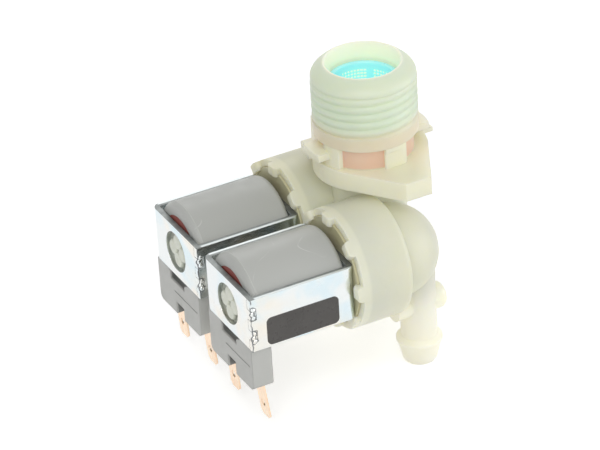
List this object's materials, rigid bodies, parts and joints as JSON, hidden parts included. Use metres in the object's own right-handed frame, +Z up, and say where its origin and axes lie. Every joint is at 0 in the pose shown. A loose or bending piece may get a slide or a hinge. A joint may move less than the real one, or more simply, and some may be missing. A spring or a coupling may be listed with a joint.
{
  "type": "washing machine inlet valve",
  "caption": "Double solenoid water inlet valve with a threaded inlet, bayonet flange, filter, yoked coils with push-on tabs, domed elbows and barbed outlet spigots.",
  "frame": {"origin": "centre of the flange's top face, on the axis of the threaded inlet", "axes": "+Z up along the inlet, +X from the coils' front plates to the domed elbows, +Y from the near valve to the far valve"},
  "size_m": [0.0676, 0.0608, 0.0814],
  "materials": {
    "nylon": "satin, slightly translucent natural nylon",
    "filter_plastic": "satin cyan plastic",
    "holder_plastic": "satin salmon plastic",
    "black_rubber": "matt rubber",
    "diaphragm_rubber": "matt rubber",
    "tube_plastic": "satin light plastic",
    "insert_plastic": "satin white plastic",
    "plunger_steel": "turned steel",
    "spring_steel": "bright wire",
    "bobbin_plastic": "matt red-brown plastic",
    "copper_wire": "enamelled copper wire",
    "coil_plastic": "satin grey plastic",
    "zinc_steel": "bright zinc plate",
    "terminal_metal": "copper coloured, bright",
    "plate_film": "dark satin film"
  },
  "bodies": {
    "valve": {"valve_body": "nylon", "inlet_filter": "filter_plastic", "flow_regulator_holder": "holder_plastic", "flow_regulator_ring": "black_rubber", "near_guide_tube": "tube_plastic", "near_diaphragm": "diaphragm_rubber", "near_plunger_spring": "spring_steel", "near_bobbin": "bobbin_plastic", "near_winding": "copper_wire", "near_coil_cover": "coil_plastic", "near_flux_sleeve": "plunger_steel", "near_yoke": "zinc_steel", "near_left_terminal": "terminal_metal", "near_right_terminal": "terminal_metal", "near_marking_plate": "plate_film", "far_guide_tube": "tube_plastic", "far_diaphragm": "diaphragm_rubber", "far_plunger_spring": "spring_steel", "far_bobbin": "bobbin_plastic", "far_winding": "copper_wire", "far_coil_cover": "coil_plastic", "far_flux_sleeve": "plunger_steel", "far_yoke": "zinc_steel", "far_left_terminal": "terminal_metal", "far_right_terminal": "terminal_metal"},
    "near_plunger": {"near_plunger": "plunger_steel", "near_plunger_seal": "black_rubber"},
    "near_insert": {"near_diaphragm_insert": "insert_plastic"},
    "far_plunger": {"far_plunger": "plunger_steel", "far_plunger_seal": "black_rubber"},
    "far_insert": {"far_diaphragm_insert": "insert_plastic"}
  },
  "joints": [
    {"name": "near_plunger_slide", "type": "slide", "parent": "valve", "child": "near_plunger", "axis": [-1, 0, 0], "range_m": [0, 0.0032], "stiffness_N_per_m": 150, "springref_m": -0.006, "deforming": ["near_plunger_spring"]},
    {"name": "near_diaphragm_lift", "type": "slide", "parent": "valve", "child": "near_insert", "axis": [-1, 0, 0], "range_m": [0, 0.0018], "deforming": ["near_diaphragm"]},
    {"name": "far_plunger_slide", "type": "slide", "parent": "valve", "child": "far_plunger", "axis": [-1, 0, 0], "range_m": [0, 0.0032], "stiffness_N_per_m": 150, "springref_m": -0.006, "deforming": ["far_plunger_spring"]},
    {"name": "far_diaphragm_lift", "type": "slide", "parent": "valve", "child": "far_insert", "axis": [-1, 0, 0], "range_m": [0, 0.0018], "deforming": ["far_diaphragm"]}
  ],
  "couplings": [
    {"joint": "near_diaphragm_lift", "follows": "near_plunger_slide", "ratio": 0.5625},
    {"joint": "far_diaphragm_lift", "follows": "far_plunger_slide", "ratio": 0.5625}
  ]
}
